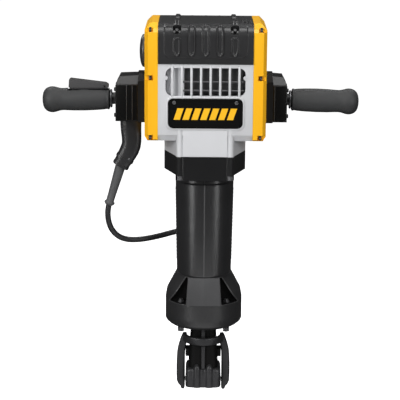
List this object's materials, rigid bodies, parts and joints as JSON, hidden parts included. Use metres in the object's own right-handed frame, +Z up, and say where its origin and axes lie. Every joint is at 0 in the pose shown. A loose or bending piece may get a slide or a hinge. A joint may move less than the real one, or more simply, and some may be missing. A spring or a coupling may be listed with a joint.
{
  "type": "demolition hammer",
  "caption": "Upright electric demolition hammer: motor head, side handles with switch paddle, barrel, hex tool socket and flip-over retainer.",
  "frame": {"origin": "mouth of the hexagonal tool socket, on the striking axis", "axes": "+Z up the striking axis to the motor head; -Y towards the nameplate side; the switch handle is on -X"},
  "size_m": [0.6967, 0.2135, 0.858],
  "materials": {
    "yellow_cover": "smooth semi-gloss moulded yellow nylon",
    "silver_casting": "fine sand-cast light grey, satin",
    "black_cover": "fine moulded grain, satin",
    "black_casting": "satin black powder coat over a casting",
    "forged_black": "phosphated forged steel, satin",
    "grip_rubber": "soft moulded rubber, matt",
    "cord_rubber": "smooth cable sheath",
    "bright_steel": "zinc-plated or ground steel",
    "nameplate_black": "glossy black plate with a blank printed band",
    "plug_rubber": "moulded plug body",
    "laminated_steel": "stacked laminations and machined cast iron",
    "copper": "varnished copper windings",
    "carbon": "pressed carbon",
    "bronze": "machined bearing bronze"
  },
  "bodies": {
    "housing": {"motor_housing": "silver_casting", "vent_grille": "silver_casting", "nameplate": "nameplate_black", "motor_cover": "black_cover", "side_cover_left": "yellow_cover", "side_cover_right": "yellow_cover", "bearing_cap": "black_cover", "collar": "black_casting", "barrel_shell_left": "black_cover", "barrel_shell_right": "black_cover", "front_flange": "black_casting", "nose": "forged_black", "tool_sleeve": "bright_steel", "bail_pin_left": "bright_steel", "bail_pin_right": "bright_steel", "handle_bracket_left": "black_casting", "handle_bracket_right": "black_casting", "switch_body": "black_cover", "cord_guard": "black_cover", "cord_sleeve": "cord_rubber", "cord": "cord_rubber", "cord_hank": "cord_rubber", "cord_tie": "grip_rubber", "plug": "plug_rubber", "stator": "laminated_steel", "motor_bearing_left": "bright_steel", "motor_bearing_right": "bright_steel", "brush_front": "carbon", "brush_rear": "carbon", "crank_bearing": "bright_steel", "cylinder": "laminated_steel", "front_guide_bush": "bronze", "damper_ring": "grip_rubber", "collar_bolt_front_left": "bright_steel", "flange_bolt_front_left": "bright_steel", "collar_bolt_front_right": "bright_steel", "flange_bolt_front_right": "bright_steel", "collar_bolt_rear_left": "bright_steel", "flange_bolt_rear_left": "bright_steel", "collar_bolt_rear_right": "bright_steel", "flange_bolt_rear_right": "bright_steel"},
    "retainer": {"retainer_bail": "forged_black"},
    "handle_left": {"handle_core_left": "bright_steel", "grip_left": "grip_rubber"},
    "handle_right": {"handle_core_right": "bright_steel", "grip_right": "grip_rubber"},
    "paddle": {"switch_paddle": "black_cover"},
    "armature": {"armature_shaft": "bright_steel", "armature_core": "copper", "commutator": "copper", "cooling_fan": "black_cover"},
    "idler": {"idler_gear": "bright_steel", "idler_shaft": "bright_steel"},
    "crank": {"crank_gear": "bright_steel", "crankshaft": "bright_steel"},
    "rod": {"connecting_rod": "bright_steel", "wrist_pin": "bright_steel"},
    "piston": {"piston": "bright_steel"},
    "ram": {"ram": "bright_steel"},
    "striker": {"beat_piece": "bright_steel"}
  },
  "joints": [
    {"name": "retainer_flip", "type": "hinge", "parent": "housing", "child": "retainer", "pos_m": [0, 0, 0.01], "axis": [1, 0, 0], "range_deg": [0, 180]},
    {"name": "handle_left_swing", "type": "hinge", "parent": "housing", "child": "handle_left", "pos_m": [-0.174, 0, 0.664], "axis": [0, 1, 0], "range_deg": [-4, 4], "stiffness_Nm_per_rad": 900},
    {"name": "handle_right_swing", "type": "hinge", "parent": "housing", "child": "handle_right", "pos_m": [0.163, 0, 0.664], "axis": [0, 1, 0], "range_deg": [-4, 4], "stiffness_Nm_per_rad": 900},
    {"name": "paddle_press", "type": "hinge", "parent": "handle_left", "child": "paddle", "pos_m": [-0.222, 0, 0.691], "axis": [0, -1, 0], "range_deg": [0, 7], "stiffness_Nm_per_rad": 1.5, "springref_deg": -8.59},
    {"name": "motor_spin", "type": "hinge", "parent": "housing", "child": "armature", "pos_m": [0, 0, 0.77], "axis": [1, 0, 0], "continuous": true},
    {"name": "idler_spin", "type": "hinge", "parent": "housing", "child": "idler", "pos_m": [0, 0, 0.708], "axis": [1, 0, 0], "continuous": true},
    {"name": "crank_spin", "type": "hinge", "parent": "housing", "child": "crank", "pos_m": [0, 0, 0.6324], "axis": [1, 0, 0], "continuous": true},
    {"name": "rod_swing", "type": "hinge", "parent": "crank", "child": "rod", "pos_m": [0, 0, 0.6164], "axis": [1, 0, 0], "continuous": true},
    {"name": "piston_slide", "type": "slide", "parent": "housing", "child": "piston", "axis": [0, 0, 1], "range_m": [0, 0.032]},
    {"name": "ram_slide", "type": "slide", "parent": "housing", "child": "ram", "axis": [0, 0, 1], "range_m": [0, 0.09]},
    {"name": "striker_slide", "type": "slide", "parent": "housing", "child": "striker", "axis": [0, 0, 1], "range_m": [0, 0.02]}
  ],
  "couplings": [
    {"joint": "idler_spin", "follows": "motor_spin", "ratio": -0.19231},
    {"joint": "crank_spin", "follows": "motor_spin", "ratio": 0.054945},
    {"joint": "rod_swing", "follows": "motor_spin", "ratio": -0.054945}
  ]
}
